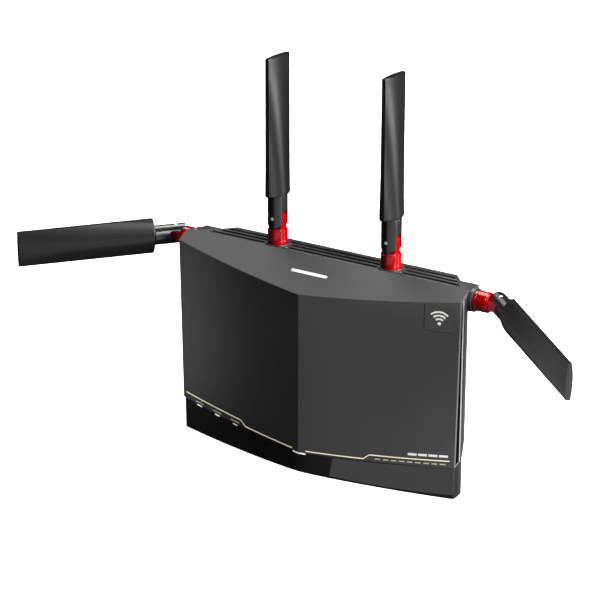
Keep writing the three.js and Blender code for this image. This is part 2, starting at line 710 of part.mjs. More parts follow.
// Thin coaxial lead from under a socket to the top edge of the board.
function coaxLead(points) {
  const route = new THREE.CatmullRomCurve3(points.map((p) => new THREE.Vector3(...p)));
  const section = new THREE.Shape();
  section.absarc(0, 0, 0.9, 0, 2 * Math.PI, false);
  return solid(new THREE.ExtrudeGeometry(section, { steps: 12, extrudePath: route, curveSegments: 4, bevelEnabled: false }));
}

const LEAD_ROUTES = {
  top_left: [[-60.5, 19.3, 180.6], [-62, 18, 174], [-68, 12, 168], [-74, 8, 161], [-78, 5.3, 152]],
  top_right: [[60.5, 19.3, 180.6], [62, 18, 174], [68, 12, 168], [74, 8, 161], [78, 5.3, 152]],
  side_left: [[-137, 16.3, 181], [-131, 15.5, 180], [-122, 12, 172], [-116, 8.5, 162], [-113, 5.3, 148]],
  side_right: [[137, 16.3, 181], [131, 15.5, 180], [122, 12, 172], [116, 8.5, 162], [113, 5.3, 148]],
};

function buildAntenna(site) {
  const base = new THREE.Group();
  base.applyMatrix4(sitePlace(site));
  router.add(base);
  piece(`antenna_socket_${site.name}`, antennaSocket(), BLACK_SATIN, base);

  const swivel = new THREE.Group();
  swivel.rotation.z = THREE.MathUtils.degToRad(site.turn);
  base.add(swivel);
  piece(`knuckle_${site.name}`, knuckle(), RED_GLOSS, swivel);

  const hinge = new THREE.Group();
  hinge.position.z = PIN_HEIGHT;
  hinge.rotation.y = THREE.MathUtils.degToRad(site.fold);
  swivel.add(hinge);
  piece(`hinge_pin_${site.name}`, hingePin(), STEEL, hinge);

  const arm = new THREE.Group();
  arm.position.z = -PIN_HEIGHT;
  hinge.add(arm);
  piece(`fork_${site.name}`, fork(), BLACK_SATIN, arm);

  const blade = new THREE.Group();
  blade.rotation.z = THREE.MathUtils.degToRad(site.twist);
  arm.add(blade);
  piece(`paddle_${site.name}`, paddle(), BLACK_SATIN, blade);
  piece(`antenna_board_${site.name}`, antennaBoard(), BOARD_GREEN, blade);
}

// ---- assembly ----
piece('front_cover', frontCover(), GREY_SATIN);
piece('lower_bezel', lowerBezel(), BLACK_GLOSS);
piece('light_bar', guide(0.6, 5.2, -LIGHT_HALF, LIGHT_HALF, ...LIGHT_SLAB), LENS_WHITE);
piece('status_light_guide', statusLightGuide(), LENS_WHITE);
piece('mid_frame', midFrame(), GUNMETAL);
piece('rear_cover', rearCover(), BLACK_SATIN);
piece('base_plate', basePlate(), BLACK_SATIN);
piece('main_board', mainBoard(), BOARD_GREEN);
piece('heat_sink', heatSink(), ALUMINIUM);
piece('shield_can', shieldCan(), STEEL);
piece('wan_jack', rj45Block(WAN_X, [WAN_X]), JACK_BLUE);
piece('lan_jack_block', rj45Block(LAN_X, jackX), JACK_BLACK);
piece('usb_port', usbPort(), STEEL);
piece('dc_jack', dcJack(), JACK_BLACK);
piece('power_button', powerButton(), BLACK_SATIN);
piece('setup_button', roundButton(SETUP_X, 4, BAY_FLOOR_Y + 2), GUNMETAL);
piece('reset_button', roundButton(RESET_X, 1.3, BAY_FLOOR_Y - 0.3), RED_GLOSS);
MODE_X.forEach((x, i) => piece(`slide_switch_${i + 1}`, slideSwitch(x), GUNMETAL));
piece('rating_label', box(
  LABEL.x - LABEL.width / 2, LABEL.x + LABEL.width / 2, REAR_Y - LABEL.deep + GAP, REAR_Y,
  LABEL.z - LABEL.height / 2, LABEL.z + LABEL.height / 2,
), LABEL_SILVER);
SCREW_PLACES.forEach(([x, z], i) => piece(`cover_screw_${i + 1}`, coverScrew(x, z), STEEL));
FOOT_PLACES.forEach(([x, y], i) => piece(`rubber_foot_${i + 1}`, bar('z', FOOT_R, 0, 1.2, x, y, 16), RUBBER));
SITES.forEach(buildAntenna);
SITES.forEach(({ name }) => piece(`coax_lead_${name}`, coaxLead(LEAD_ROUTES[name]), CABLE_GREY));

export default router;
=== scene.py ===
"""A wireless router with four jointed antennas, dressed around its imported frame."""
import json
import math

import bmesh
import bpy
from mathutils import Matrix, Vector


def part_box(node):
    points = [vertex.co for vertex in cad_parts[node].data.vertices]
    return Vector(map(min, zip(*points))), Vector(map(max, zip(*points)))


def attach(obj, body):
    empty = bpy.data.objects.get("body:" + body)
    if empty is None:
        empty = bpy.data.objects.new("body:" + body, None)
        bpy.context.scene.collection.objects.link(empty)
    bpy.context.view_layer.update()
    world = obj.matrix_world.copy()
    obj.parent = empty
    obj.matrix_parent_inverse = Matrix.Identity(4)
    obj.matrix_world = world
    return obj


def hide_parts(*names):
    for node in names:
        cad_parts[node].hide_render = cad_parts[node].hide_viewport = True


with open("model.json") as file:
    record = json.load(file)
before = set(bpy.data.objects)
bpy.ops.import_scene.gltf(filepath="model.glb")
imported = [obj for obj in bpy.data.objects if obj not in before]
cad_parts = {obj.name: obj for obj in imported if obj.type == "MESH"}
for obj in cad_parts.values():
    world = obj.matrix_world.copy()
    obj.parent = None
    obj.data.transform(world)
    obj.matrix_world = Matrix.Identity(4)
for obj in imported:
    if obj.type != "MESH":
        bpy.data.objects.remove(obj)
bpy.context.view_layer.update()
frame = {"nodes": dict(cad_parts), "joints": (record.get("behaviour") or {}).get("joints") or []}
JOINTS = {joint["name"]: joint for joint in frame["joints"]}

MM = 0.001
SITES = ("top_left", "top_right", "side_left", "side_right")


# ---------------------------------------------------------------- places and sizes, as in the CAD
COVER_LOW, COVER_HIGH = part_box("front_cover")
BEZEL_LOW, BEZEL_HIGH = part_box("lower_bezel")

HALF_WIDTH = 150 * MM
RIDGE_Y = COVER_LOW.y
CORNER_Y = -11.4 * MM
PANEL_BOW = 2 * MM
PANEL_THICK = 2.6 * MM
ROOF_BACK_Y = COVER_HIGH.y
ROOF_BACK_Z = COVER_HIGH.z
ROOF_SLOPE = 0.59
ROOF_THICK = 3 * MM
ROOF_CORNER_R = 5 * MM
CUT_CORNER_Z = 31 * MM
CUT_SLOPE = 0.448
DRAFT = 0.107
DRAFT_TOP = 187 * MM


def lean(z):
    """The body's width at height z, as a part of its full width."""
    return 1 - DRAFT * (DRAFT_TOP - z)


def roof_z(y):
    return ROOF_BACK_Z - ROOF_SLOPE * (ROOF_BACK_Y - y)


def cut_z(y):
    return CUT_CORNER_Z + CUT_SLOPE * (y - CORNER_Y)


def front_y(x, half=HALF_WIDTH, corner=CORNER_Y, ridge=RIDGE_Y, bow=PANEL_BOW):
    """The front surface's y at plan position x: two halves that bow out from a ridge at x = 0."""
    t = min(abs(x) / half, 1)
    return ridge + (corner - ridge) * t - 4 * bow * t * (1 - t)


# ---------------------------------------------------------------- mesh tools
SAME_POINT = 1e-7  # metres: points closer than this are one point
WELD_GAP = 2e-6  # metres: as fine as the gaps that cuts and faceted solids leave
STRAIGHT = 0.02  # the sine of a bend too slight to round
FLAT_ANGLE = math.radians(0.5)
CUTTER_REACH = 20 * MM  # how far a cutter stands clear of what it cuts
BOX_FACES = [(0, 1, 3, 2), (4, 6, 7, 5), (0, 4, 5, 1), (2, 3, 7, 6), (0, 2, 6, 4), (1, 5, 7, 3)]
LAID_ON_Y = Matrix.Rotation(-math.pi / 2, 4, "X")


def add_object(name, mesh):
    obj = bpy.data.objects.new(name, mesh)
    bpy.context.scene.collection.objects.link(obj)
    return obj


def from_pydata(name, verts, faces):
    mesh = bpy.data.meshes.new(name)
    mesh.from_pydata([tuple(v) for v in verts], [], faces)
    mesh.validate()
    mesh.update()
    bm = bmesh.new()
    bm.from_mesh(mesh)
    bmesh.ops.remove_doubles(bm, verts=bm.verts, dist=SAME_POINT)
    bmesh.ops.recalc_face_normals(bm, faces=bm.faces)
    bm.to_mesh(mesh)
    bm.free()
    return add_object(name, mesh)


def loft(name, rings, caps=True):
    """A skin through rings of equal length; the two end rings are closed with flat caps."""
    count = len(rings[0])
    verts = [point for ring in rings for point in ring]
    faces = []
    for r in range(len(rings) - 1):
        for i in range(count):
            j = (i + 1) % count
            faces.append((r * count + i, r * count + j, (r + 1) * count + j, (r + 1) * count + i))
    if caps:
        faces.append(tuple(range(count)))
        faces.append(tuple((len(rings) - 1) * count + i for i in range(count)))
    return from_pydata(name, verts, faces)


def arc_corner(before, corner, after, radius, steps=4):
    """The points that round one corner of a polyline."""
    a = (before - corner).normalized()
    b = (after - corner).normalized()
    half = a.angle(b) / 2
    room = 0.49
    reach = min(
        radius / math.tan(half), room * (before - corner).length, room * (after - corner).length,
    )
    centre = corner + (a + b).normalized() * (reach / math.cos(half))
    start, end = corner + a * reach, corner + b * reach
    points = []
    for i in range(steps + 1):
        ray = (start - centre).lerp(end - centre, i / steps)
        points.append(centre + ray.normalized() * (start - centre).length)
    return points


def rounded(profile, radius, steps=4, closed=False):
    """A polyline of (u, v) pairs with its corners rounded; an open one keeps its two ends."""
    pts = [Vector((u, v)) for u, v in profile]
    count = len(pts)
    result = []
    for i, point in enumerate(pts):
        if not closed and i in (0, count - 1):
            result.append(point)
            continue
        before, after = pts[i - 1], pts[(i + 1) % count]
        bend = (point - before).normalized().cross((after - point).normalized())
        if abs(bend) < STRAIGHT:
            result.append(point)
        else:
            result += arc_corner(before, point, after, radius, steps)
    return [(p.x, p.y) for p in result]


def spin(name, profile, segments=64):
    """A profile of (radius, height) pairs, from the axis back to the axis, turned about local Z."""
    rings = []
    for radius, height in profile:
        ring = []
        for i in range(segments):
            angle = 2 * math.pi * i / segments
            ring.append(Vector((radius * math.cos(angle), radius * math.sin(angle), height)))
        rings.append(ring)
    return loft(name, rings, caps=False)


def spin_ring(name, profile, segments=64):
    """A closed profile of (radius, height) pairs turned about local Z: a ring or tube."""
    rings = []
    for i in range(segments + 1):
        angle = 2 * math.pi * i / segments
        rings.append([Vector((r * math.cos(angle), r * math.sin(angle), h)) for r, h in profile])
    return loft(name, rings, caps=False)


def block(name, low, high):
    (x0, y0, z0), (x1, y1, z1) = low, high
    verts = [(x, y, z) for x in (x0, x1) for y in (y0, y1) for z in (z0, z1)]
    return from_pydata(name, verts, BOX_FACES)


def rod(name, radius, low, high, axis="z", segments=48):
    """A plain round bar along the z or the y axis, round the origin."""
    body = spin(name, [(0, low), (radius, low), (radius, high), (0, high)], segments)
    if axis == "y":
        body.data.transform(LAID_ON_Y)
    return body


def settle(obj):
    """Turns an object's modifiers into its mesh."""
    graph = bpy.context.evaluated_depsgraph_get()
    mesh = bpy.data.meshes.new_from_object(obj.evaluated_get(graph))
    old = obj.data
    obj.modifiers.clear()
    obj.data = mesh
    bpy.data.meshes.remove(old)


def carve(obj, cutters, how="DIFFERENCE"):
    """Cuts or joins the cutters into obj and removes them."""
    for cutter in cutters:
        step = obj.modifiers.new("carve", "BOOLEAN")
        step.operation = how
        step.solver = "EXACT"
        step.object = cutter
        settle(obj)
        bpy.data.objects.remove(cutter)
    return obj


def soften(obj, width, angle=35, segments=3):
    """Rounds every edge sharper than the angle, in degrees."""
    bm = bmesh.new()
    bm.from_mesh(obj.data)
    bmesh.ops.remove_doubles(bm, verts=bm.verts, dist=WELD_GAP)
    bmesh.ops.dissolve_limit(bm, angle_limit=FLAT_ANGLE, verts=bm.verts, edges=bm.edges)
    limit = math.radians(angle)
    edges = [e for e in bm.edges if len(e.link_faces) == 2 and e.calc_face_angle(0) > limit]
    bmesh.ops.bevel(
        bm, geom=edges, offset=width, offset_type="OFFSET", segments=segments, profile=0.5,
        affect="EDGES", clamp_overlap=True,
    )
    bm.to_mesh(obj.data)
    bm.free()
    return obj


def shade(obj, angle=32):
    """Smooth shading that stays crisp at edges sharper than the angle, in degrees."""
    obj.data.polygons.foreach_set("use_smooth", [True] * len(obj.data.polygons))
    obj.data.set_sharp_from_angle(angle=math.radians(angle))
    weigh = obj.modifiers.new("weighted", "WEIGHTED_NORMAL")
    weigh.keep_sharp = True
    return obj


def place(obj, matrix, body, material, replaces):
    """Puts a finished piece where it belongs and tells the frame about it."""
    obj.data.transform(matrix)
    obj.data.materials.clear()
    obj.data.materials.append(material)
    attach(obj, body)
    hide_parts(*replaces)


# ---------------------------------------------------------------- materials
NOISE_RANGE = (0.3, 0.7)  # nearly all of a noise texture's values
DRIFT_SCALE = 14
SMEAR_SCALE = 45
GRAIN_DEPTH = 0.02 * MM
LINE_DEPTH = 0.01 * MM


def new_material(name):
    """A material with its nodes, its links, its shader and the object's own coordinates."""
    material = bpy.data.materials.new(name)
    material.use_nodes = True
    nodes = material.node_tree.nodes
    links = material.node_tree.links
    shader = nodes["Principled BSDF"]
    coordinates = nodes.new("ShaderNodeTexCoord")
    return material, nodes, links, shader, coordinates.outputs["Object"]


def noise(nodes, links, coords, scale, detail):
    texture = nodes.new("ShaderNodeTexNoise")
    texture.inputs["Scale"].default_value = scale
    texture.inputs["Detail"].default_value = detail
    links.new(coords, texture.inputs["Vector"])
    return texture.outputs["Fac"]


def spread(nodes, links, value, low, high):
    """Maps a noise texture's value onto low to high."""
    remap = nodes.new("ShaderNodeMapRange")
    remap.inputs["From Min"].default_value = NOISE_RANGE[0]
    remap.inputs["From Max"].default_value = NOISE_RANGE[1]
    remap.inputs["To Min"].default_value = low
    remap.inputs["To Max"].default_value = high
    links.new(value, remap.inputs["Value"])
    return remap.outputs["Result"]


def tint(nodes, links, value, dark, light):
    mix = nodes.new("ShaderNodeMix")
    mix.data_type = "RGBA"
    mix.inputs["A"].default_value = (*dark, 1)
    mix.inputs["B"].default_value = (*light, 1)
    links.new(value, mix.inputs["Factor"])
    return mix.outputs["Result"]


def bump(nodes, links, shader, value, strength, depth):
    node = nodes.new("ShaderNodeBump")
    node.inputs["Strength"].default_value = strength
    node.inputs["Distance"].default_value = depth
    links.new(value, node.inputs["Height"])
    links.new(node.outputs["Normal"], shader.inputs["Normal"])


def moulded(
    name, colour, rough, grain=2600, grain_strength=0.12, vary=0.12, specular=0.5, painted_glow=0.0,
    marks=0.1,
):
    """Moulded plastic: a fine grain, a slow drift in tone, and handling marks in the gloss. Any
    glow it is given is painted light, not a lamp.
    """
    material, nodes, links, shader, coords = new_material(name)
    slow = noise(nodes, links, coords, DRIFT_SCALE, 3)
    fine = noise(nodes, links, coords, grain, 2)
    dark = tuple(c * (1 - vary) for c in colour)
    light = tuple(c * (1 + vary) for c in colour)
    tone = tint(nodes, links, spread(nodes, links, slow, 0, 1), dark, light)
    links.new(tone, shader.inputs["Base Color"])
    smear = noise(nodes, links, coords, SMEAR_SCALE, 4)
    gloss = spread(nodes, links, smear, rough * (1 - marks), rough * (1 + marks))
    links.new(gloss, shader.inputs["Roughness"])
    bump(nodes, links, shader, fine, grain_strength, GRAIN_DEPTH)
    shader.inputs["Specular IOR Level"].default_value = specular
    shader.inputs["Emission Color"].default_value = (*colour, 1)
    shader.inputs["Emission Strength"].default_value = painted_glow
    return material


def highlighted_flanks(name, flank_highlight, rest, rough):
    """A painted highlight: one light colour on the faces that look sideways, and another on the
    rest.
    """
    sideways_from = 0.6
    material, nodes, links, shader, coords = new_material(name)
    geometry = nodes.new("ShaderNodeNewGeometry")
    parts = nodes.new("ShaderNodeSeparateXYZ")
    links.new(geometry.outputs["True Normal"], parts.inputs["Vector"])
    sideways = nodes.new("ShaderNodeMath")
    sideways.operation = "ABSOLUTE"
    links.new(parts.outputs["X"], sideways.inputs[0])
    highlight_mask = nodes.new("ShaderNodeMath")
    highlight_mask.operation = "GREATER_THAN"
    highlight_mask.inputs[1].default_value = sideways_from
    links.new(sideways.outputs["Value"], highlight_mask.inputs[0])
    tone = tint(nodes, links, highlight_mask.outputs["Value"], rest, flank_highlight)
    links.new(tone, shader.inputs["Base Color"])
    fine = noise(nodes, links, coords, 1200, 2)
    bump(nodes, links, shader, fine, 0.15, GRAIN_DEPTH)
    smear = noise(nodes, links, coords, SMEAR_SCALE, 4)
    gloss = spread(nodes, links, smear, rough * 0.9, rough * 1.1)
    links.new(gloss, shader.inputs["Roughness"])
    shader.inputs["Specular IOR Level"].default_value = 0.1
    return material


def brushed(name, colour, rough, metallic=1.0):
    """Metal with fine drawn lines along local X."""
    material, nodes, links, shader, coords = new_material(name)
    stretch = nodes.new("ShaderNodeMapping")
    stretch.inputs["Scale"].default_value = (40, 900, 900)
    links.new(coords, stretch.inputs["Vector"])
    lines = noise(nodes, links, stretch.outputs["Vector"], 1, 3)
    dark = tuple(c * 0.85 for c in colour)
    tone = tint(nodes, links, spread(nodes, links, lines, 0, 1), dark, colour)
    links.new(tone, shader.inputs["Base Color"])
    gloss = spread(nodes, links, lines, rough * 0.8, rough * 1.2)
    links.new(gloss, shader.inputs["Roughness"])
    bump(nodes, links, shader, lines, 0.15, LINE_DEPTH)
    shader.inputs["Metallic"].default_value = metallic
    return material


def glowing(name, colour, strength):
    """A lamp's lens, evenly lit from behind."""
    material, nodes, links, shader, coords = new_material(name)
    haze = noise(nodes, links, coords, 900, 2)
    dark = tuple(c * 0.8 for c in colour)
    links.new(tint(nodes, links, haze, dark, colour), shader.inputs["Base Color"])
    shader.inputs["Roughness"].default_value = 0.35
    shader.inputs["Emission Color"].default_value = (*colour, 1)
    shader.inputs["Emission Strength"].default_value = strength
    return material


COVER_GREY = moulded(
    "cover_grey", (0.057, 0.057, 0.0575), 0.4, grain=800, grain_strength=1.0, vary=0.03,
    specular=0.07,
)
BEZEL_BLACK = moulded("bezel_black", (0.012, 0.012, 0.012), 0.10, grain=300, grain_strength=0.01)
REAR_BLACK = moulded("rear_black", (0.020, 0.020, 0.0205), 0.42, grain=1500, grain_strength=0.3)
FORK_BLACK = moulded("fork_black", (0.007, 0.007, 0.0072), 0.22, grain=1600, grain_strength=0.2)
PADDLE_BLACK = moulded(
    "paddle_black", (0.006, 0.006, 0.0062), 0.25, grain=900, grain_strength=0.5, specular=0.22,
    marks=0.02,
)
# the chassis's sideways faces are painted light as a painted highlight; its other faces are near
# black
CHASSIS_FLANK_HIGHLIGHT = highlighted_flanks("chassis_flank_highlight", (0.16, 0.16, 0.162), (0.002, 0.002, 0.002), 0.35)
CONTROL_GREY = moulded("control_grey", (0.13, 0.132, 0.14), 0.4, grain=1200)
RED_GLOSS = moulded(
    "red_gloss", (0.20, 0.0, 0.001), 0.14, grain=250, grain_strength=0.01, vary=0.06,
    specular=0.28,
)
GOLD_CONTACT = brushed("gold_contact", (0.85, 0.62, 0.25), 0.25)
PIN_STEEL = brushed("pin_steel", (0.80, 0.80, 0.81), 0.3, metallic=0.25)
SCREW_STEEL = brushed("screw_steel", (0.35, 0.35, 0.36), 0.35)
RUBBER = moulded("rubber", (0.02, 0.02, 0.02), 0.8, grain=900, grain_strength=0.5)
JACK_BLACK = moulded("jack_black", (0.015, 0.015, 0.016), 0.45)
JACK_BLUE = moulded("jack_blue", (0.015, 0.09, 0.42), 0.4)
SHELL_STEEL = brushed("shell_steel", (0.62, 0.62, 0.64), 0.3)
# The trim and the printed marks glow a little: painted light that keeps them bright on the dark
# panel, though none of them is a lamp.
GOLD_TRIM = moulded("gold_trim", (0.58, 0.54, 0.40), 0.3, grain=900, vary=0.05, painted_glow=0.75)
PRINT_GREY = moulded("print_grey", (0.38, 0.36, 0.30), 0.4, grain=900, vary=0.05, painted_glow=0.35)
SILVER_PRINT = moulded("silver_print", (0.56, 0.55, 0.52), 0.35, grain=900, vary=0.05, painted_glow=0.4)
BADGE_BLACK = moulded("badge_black", (0.02, 0.02, 0.022), 0.25, grain=700)
LAMP_WHITE = glowing("lamp_white", (0.90, 0.90, 0.86), 0.55)
BOARD_GREEN = moulded("board_green", (0.02, 0.12, 0.05), 0.4)
LABEL_GREY = moulded("label_grey", (0.33, 0.33, 0.34), 0.5)


# ---------------------------------------------------------------- camera, light and floor
# Each light: where it stands, what it aims at, its width and height, and its power
LIGHTS = {
    "key": ((2.0, -0.32, 1.05), (0, 0, 0.12), (0.5, 2.2), 175),
    "right_rim": ((1.6, 0.95, 0.5), (0, 0, 0.1), (0.4, 1.0), 85),
    "overhead": ((-0.9, 0.7, 2.0), (0, 0, 0.1), (1.2, 1.2), 48),
    "left_edge": ((-0.225, -0.075, 0.10), (-0.12, -0.02, 0.10), (0.03, 0.2), 0.085),
    "antenna_beam": ((0.17, -0.62, 0.20), (0.262, -0.06, 0.16), (0.06, 0.06), 0.42),
}
NARROW_LIGHTS = {"left_edge": 110, "antenna_beam": 20}  # how wide they spread, in degrees
CARD_CORNERS = [
    (0.030, -0.036), (0.24, 0.0), (1.2, 0.35), (1.6, -0.6), (0.9, -1.4), (-0.20, -1.05),
]
CARD_HEIGHT = 0.001
FLOOR_HALF = 22
FLOOR_THICK = 0.02
WALL_INSIDE, WALL_OUTSIDE = 20, 21  # near enough for every view's clipping distance
WALL_LOW, WALL_HIGH = -1, 15
SHADE_START, SHADE_END = 0.25, 0.9  # metres from the origin, where the floor brightens


def build_camera():
    azimuth, elevation, roll = math.radians(33.66), math.radians(20.35), math.radians(0.09)
    distance = 2.104
    target = Vector((-16.4, -10.2, 154.8)) * MM
    ray = Vector((
        math.sin(azimuth) * math.cos(elevation),
        -math.cos(azimuth) * math.cos(elevation),
        math.sin(elevation),
    ))
    data = bpy.data.cameras.new("camera")
    data.sensor_width = 36
    data.lens = 140.6
    data.clip_end = 200
    camera = bpy.data.objects.new("camera", data)
    bpy.context.scene.collection.objects.link(camera)
    camera.location = target + ray * distance
    look = (-ray).to_track_quat("-Z", "Y").to_matrix().to_4x4()
    camera.rotation_euler = (look @ Matrix.Rotation(roll, 4, "Z")).to_euler()
    bpy.context.scene.camera = camera


def area_light(name, location, aim, size, power):
    data = bpy.data.lights.new(name, "AREA")
    data.shape = "RECTANGLE"
    data.size, data.size_y = size
    data.energy = power
    light = bpy.data.objects.new(name, data)
    bpy.context.scene.collection.objects.link(light)
    light.location = location
    ray = Vector(aim) - Vector(location)
    light.rotation_euler = ray.to_track_quat("-Z", "Y").to_euler()
    return light


def floor_material():
    """White all round; it dims under the object, where its soft shadow lies."""
    material, nodes, links, shader, coords = new_material("floor_white")
    drift = noise(nodes, links, coords, 1.5, 1)
    tone = tint(nodes, links, drift, (0.9, 0.9, 0.9), (0.92, 0.92, 0.92))
    links.new(tone, shader.inputs["Base Color"])
    shader.inputs["Roughness"].default_value = 0.9
    distance = nodes.new("ShaderNodeVectorMath")
    distance.operation = "LENGTH"
    links.new(coords, distance.inputs[0])
    fade = nodes.new("ShaderNodeMapRange")
    fade.inputs["From Min"].default_value = SHADE_START
    fade.inputs["From Max"].default_value = SHADE_END
    fade.inputs["To Min"].default_value = 0.72
    fade.inputs["To Max"].default_value = 1.0
    links.new(distance.outputs["Value"], fade.inputs["Value"])
    shader.inputs["Emission Color"].default_value = (1, 1, 1, 1)
    links.new(fade.outputs["Result"], shader.inputs["Emission Strength"])
    return material


def reflector(name, corners, strength):
    """A bright card beside the object: glossy surfaces reflect it, nothing else sees it."""
    verts = [(x, y, CARD_HEIGHT) for x, y in corners]
    card = from_pydata(name, verts, [tuple(range(len(corners)))])
    material, nodes, links, shader, coords = new_material(name)
    haze = noise(nodes, links, coords, 3, 1)
    tone = tint(nodes, links, haze, (0.95, 0.95, 0.95), (1, 1, 1))
    links.new(tone, shader.inputs["Emission Color"])
    shader.inputs["Base Color"].default_value = (0, 0, 0, 1)
    shader.inputs["Emission Strength"].default_value = strength
    card.data.materials.append(material)
    card.visible_camera = False
    card.visible_diffuse = False
    card.visible_shadow = False


def build_studio():
    world = bpy.data.worlds.new("studio")
    world.use_nodes = True
    background = world.node_tree.nodes["Background"]
    background.inputs["Color"].default_value = (1, 1, 1, 1)
    background.inputs["Strength"].default_value = 0.02
    bpy.context.scene.world = world
    bpy.context.scene.view_settings.view_transform = "Standard"

    for name, settings in LIGHTS.items():
        light = area_light(name, *settings)
        if name in NARROW_LIGHTS:
            light.data.spread = math.radians(NARROW_LIGHTS[name])
            light.visible_camera = False
            light.visible_glossy = False
    reflector("front_card", CARD_CORNERS, 1.0)

    floor = block("floor", (-FLOOR_HALF, -FLOOR_HALF, -FLOOR_THICK), (FLOOR_HALF, FLOOR_HALF, 0))
    floor.data.materials.append(floor_material())
    wall = spin_ring("wall", [
        (WALL_INSIDE, WALL_LOW), (WALL_OUTSIDE, WALL_LOW), (WALL_OUTSIDE, WALL_HIGH),
        (WALL_INSIDE, WALL_HIGH),
    ], 48)
    wall.data.materials.append(floor.data.materials[0])
    for backdrop in (floor, wall):
        backdrop.visible_glossy = False
        backdrop.visible_diffuse = False
        backdrop.visible_shadow = backdrop is floor


# ---------------------------------------------------------------- body
def columns(half, fine_end=ROOF_CORNER_R):
    """Plan positions across the front, closer together at the ends."""
    steps, end_steps = 48, 6
    inner = half - fine_end
    side = [inner * i / steps for i in range(1, steps + 1)]
    for i in range(1, end_steps + 1):
        side.append(inner + fine_end * math.sin(math.pi / 2 * i / end_steps))
    return [-x for x in reversed(side)] + [0.0] + side


def build_front_cover():
    """The ridged panel, its side returns and the sloping roof, in one moulding."""
    on_centre, past_ridge = 0.01 * MM, MM
    rings = []
    for x in columns(HALF_WIDTH):
        y = front_y(x)
        over = max(0, abs(x) - (HALF_WIDTH - ROOF_CORNER_R))
        along = math.sqrt(max(0, ROOF_CORNER_R ** 2 - over ** 2))
        back = ROOF_BACK_Y - (ROOF_CORNER_R - along)
        inner = y + PANEL_THICK
        section = [
            (y, cut_z(y)),
            (y, roof_z(y)),
            (back, roof_z(back)),
            (back, roof_z(back) - ROOF_THICK),
            (inner, roof_z(inner) - ROOF_THICK),
            (inner, cut_z(inner)),
        ]
        rings.append([Vector((x * lean(z), v, z)) for v, z in section])
    cover = loft("cover_shell", rings)
    soften(cover, 0.45 * MM, angle=30, segments=3)
    shade(cover)
    for edge in cover.data.edges:
        ends = [cover.data.vertices[v].co for v in edge.vertices]
        if all(abs(end.x) < on_centre and end.y < RIDGE_Y + past_ridge for end in ends):
            edge.use_edge_sharp = True
    place(cover, Matrix.Identity(4), "base", COVER_GREY, ["front_cover"])


BAND_HALF = 149.6 * MM
BAND_CORNER = -9.8 * MM
BAND_RIDGE = BEZEL_LOW.y
BAND_BOW = 3 * MM
BAND_BACK = BEZEL_HIGH.y
BAND_WALL = 5 * MM
BAND_WALL_SPAN = BAND_WALL * 1.05  # the wall's depth along y
BAND_END = 5.5 * MM  # how far in from the sides the band is solid
BAND_CORNER_R = 2.2 * MM
TONGUE_INSET = 3.2 * MM
TONGUE_RISE = 8.5 * MM
TONGUE_ROOT = 4 * MM
TONGUE_DEPTH = BAND_WALL + 0.5 * MM
TONGUE_BACK = -6.7 * MM
RIDGE_SOFT = 7 * MM
SEAM = 0.3 * MM
LAMP_LOW, LAMP_HIGH = -2.05 * MM, -0.45 * MM  # from the panel's lower edge
STATUS_X = (-126 * MM, -102 * MM, -78.5 * MM)
STATUS_HALF = 3.3 * MM
CENTRE_HALF = 7.3 * MM


def band_y(x):
    """The band's front surface: like the panel's, with a softened ridge."""
    soft = math.sqrt(x * x + RIDGE_SOFT ** 2)
    return front_y(min(soft, BAND_HALF), BAND_HALF, BAND_CORNER, BAND_RIDGE, BAND_BOW)


def band_plan():
    """The band's outer line in plan, left to right, with rounded vertical corners."""
    end = (BAND_HALF, band_y(BAND_HALF))
    front = [(x, band_y(x)) for x in columns(BAND_HALF - BAND_CORNER_R, 1 * MM)]
    corner = [Vector(front[-1]), Vector(end), Vector((BAND_HALF, BAND_BACK))]
    arc = [(p.x, p.y) for p in arc_corner(*corner, BAND_CORNER_R, 6)]
    right = [p for p in arc if p[0] > front[-1][0]] + [(BAND_HALF, BAND_BACK)]
    return [(-x, y) for x, y in reversed(right)] + front + right


def slab_along_edge(name, low, high, left, right):
    """A block that slants like the panel's lower edge, from low to high above it."""
    before, behind = -45 * MM, 10 * MM
    verts = [
        (x, y, cut_z(y) + rise)
        for x in (left, right) for y in (before, behind) for rise in (low, high)
    ]
    return from_pydata(name, verts, BOX_FACES)


def build_lower_bezel():
    """The glossy band with the tongue that stands behind the panel, and notches for the lamps."""
    rings = []
    for x, y in band_plan():
        at_side = abs(x) >= HALF_WIDTH - BAND_END
        back = BAND_BACK if at_side else min(y + BAND_WALL_SPAN, BAND_BACK)
        section = [(y, 0.0), (y, cut_z(y) - SEAM), (back, cut_z(back) - SEAM), (back, 0.0)]
        rings.append([Vector((x * lean(z), v, z)) for v, z in section])
    band = loft("lower_band", rings)
    tongue_rings = []
    for x in columns(HALF_WIDTH - TONGUE_INSET):
        y = front_y(x)
        step, inner = y + TONGUE_INSET, min(y + TONGUE_DEPTH, TONGUE_BACK)
        section = [
            (step, cut_z(step) - TONGUE_ROOT),
            (step, cut_z(step) + TONGUE_RISE),
            (inner, cut_z(inner) + TONGUE_RISE),
            (inner, cut_z(inner) - TONGUE_ROOT),
        ]
        tongue_rings.append([Vector((x * lean(z), v, z)) for v, z in section])
    soften(band, 0.5 * MM, angle=40, segments=3)
    carve(band, [loft("tongue", tongue_rings)], "UNION")
    lamps = [(0.0, CENTRE_HALF)] + [(x, STATUS_HALF) for x in STATUS_X]
    carve(band, [
        slab_along_edge("notch", LAMP_LOW, LAMP_HIGH, x - half, x + half) for x, half in lamps
    ])
    shade(band)
    place(band, Matrix.Identity(4), "base", BEZEL_BLACK, ["lower_bezel"])


